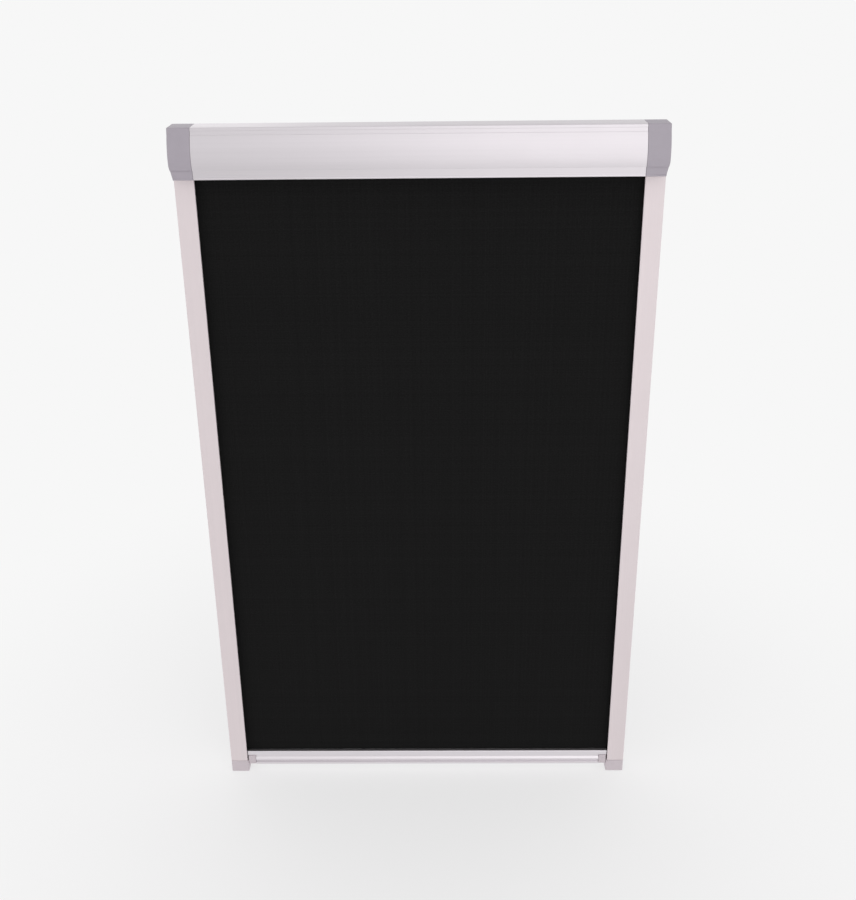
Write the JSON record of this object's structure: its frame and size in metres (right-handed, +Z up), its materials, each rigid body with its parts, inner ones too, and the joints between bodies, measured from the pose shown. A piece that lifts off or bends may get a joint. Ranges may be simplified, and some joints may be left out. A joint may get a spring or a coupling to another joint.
{
  "type": "roof window roller blind",
  "caption": "Spring roller blind for a roof window: cassette, blackout cloth guided in side channels, and a friction-held bottom bar.",
  "frame": {"origin": "middle of the cassette's top face, in the plane of the cloth", "axes": "+X to the right as seen from the room, +Y towards the glass, +Z up along the cloth"},
  "size_m": [0.61, 0.042, 0.984],
  "materials": {
    "silver_aluminium": "satin anodised",
    "mill_aluminium": "mill finish, drawn along its length",
    "grey_plastic": "fine moulded texture",
    "pale_grey_plastic": "fine moulded texture",
    "black_cloth": "coated blackout weave",
    "grey_pile": "short brush pile",
    "nylon": "natural moulded",
    "steel": "zinc plated"
  },
  "bodies": {
    "housing": {"cassette_cover": "silver_aluminium", "cassette_back_plate": "silver_aluminium", "end_cap_left": "grey_plastic", "end_cap_right": "grey_plastic", "mounting_clip_left": "steel", "mounting_clip_right": "steel", "end_cap_screw_left_upper": "steel", "end_cap_screw_left_lower": "steel", "end_cap_screw_right_upper": "steel", "end_cap_screw_right_lower": "steel", "spring_shaft": "steel", "spring_anchor": "nylon", "torsion_spring": "steel", "idle_bush": "nylon", "side_channel_left": "silver_aluminium", "side_channel_right": "silver_aluminium", "pile_strip_left_front": "grey_pile", "pile_strip_left_back": "grey_pile", "pile_strip_right_front": "grey_pile", "pile_strip_right_back": "grey_pile", "channel_end_cap_left": "pale_grey_plastic", "channel_end_cap_right": "pale_grey_plastic", "cloth_panel": "black_cloth"},
    "roller": {"roller_tube": "mill_aluminium", "roller_spline": "nylon", "cloth_roll": "black_cloth", "spring_drive_plug": "nylon", "idle_plug": "nylon", "idle_pin": "steel"},
    "bar": {"bottom_bar": "silver_aluminium", "hem_spline": "nylon", "end_shoe_left": "pale_grey_plastic", "end_shoe_right": "pale_grey_plastic", "brake_spring_left": "steel", "brake_spring_right": "steel"},
    "left_brake": {"brake_pad_left": "nylon"},
    "right_brake": {"brake_pad_right": "nylon"}
  },
  "joints": [
    {"name": "bottom_bar_slide", "type": "slide", "parent": "housing", "child": "bar", "axis": [0, 0, 1], "range_m": [0, 0.882], "deforming": ["cloth_panel"]},
    {"name": "roller_spin", "type": "hinge", "parent": "housing", "child": "roller", "pos_m": [0, -0.01307, -0.028], "axis": [1, 0, 0], "range_deg": [0, 3400], "deforming": ["torsion_spring"]},
    {"name": "brake_pad_left_press", "type": "slide", "parent": "bar", "child": "left_brake", "axis": [0, 1, 0], "range_m": [-0.0008, 0], "stiffness_N_per_m": 500, "springref_m": 0.003, "deforming": ["brake_spring_left"]},
    {"name": "brake_pad_right_press", "type": "slide", "parent": "bar", "child": "right_brake", "axis": [0, 1, 0], "range_m": [-0.0008, 0], "stiffness_N_per_m": 500, "springref_m": 0.003, "deforming": ["brake_spring_right"]}
  ],
  "couplings": [
    {"joint": "roller_spin", "follows": "bottom_bar_slide", "rad_per_m": 67}
  ]
}
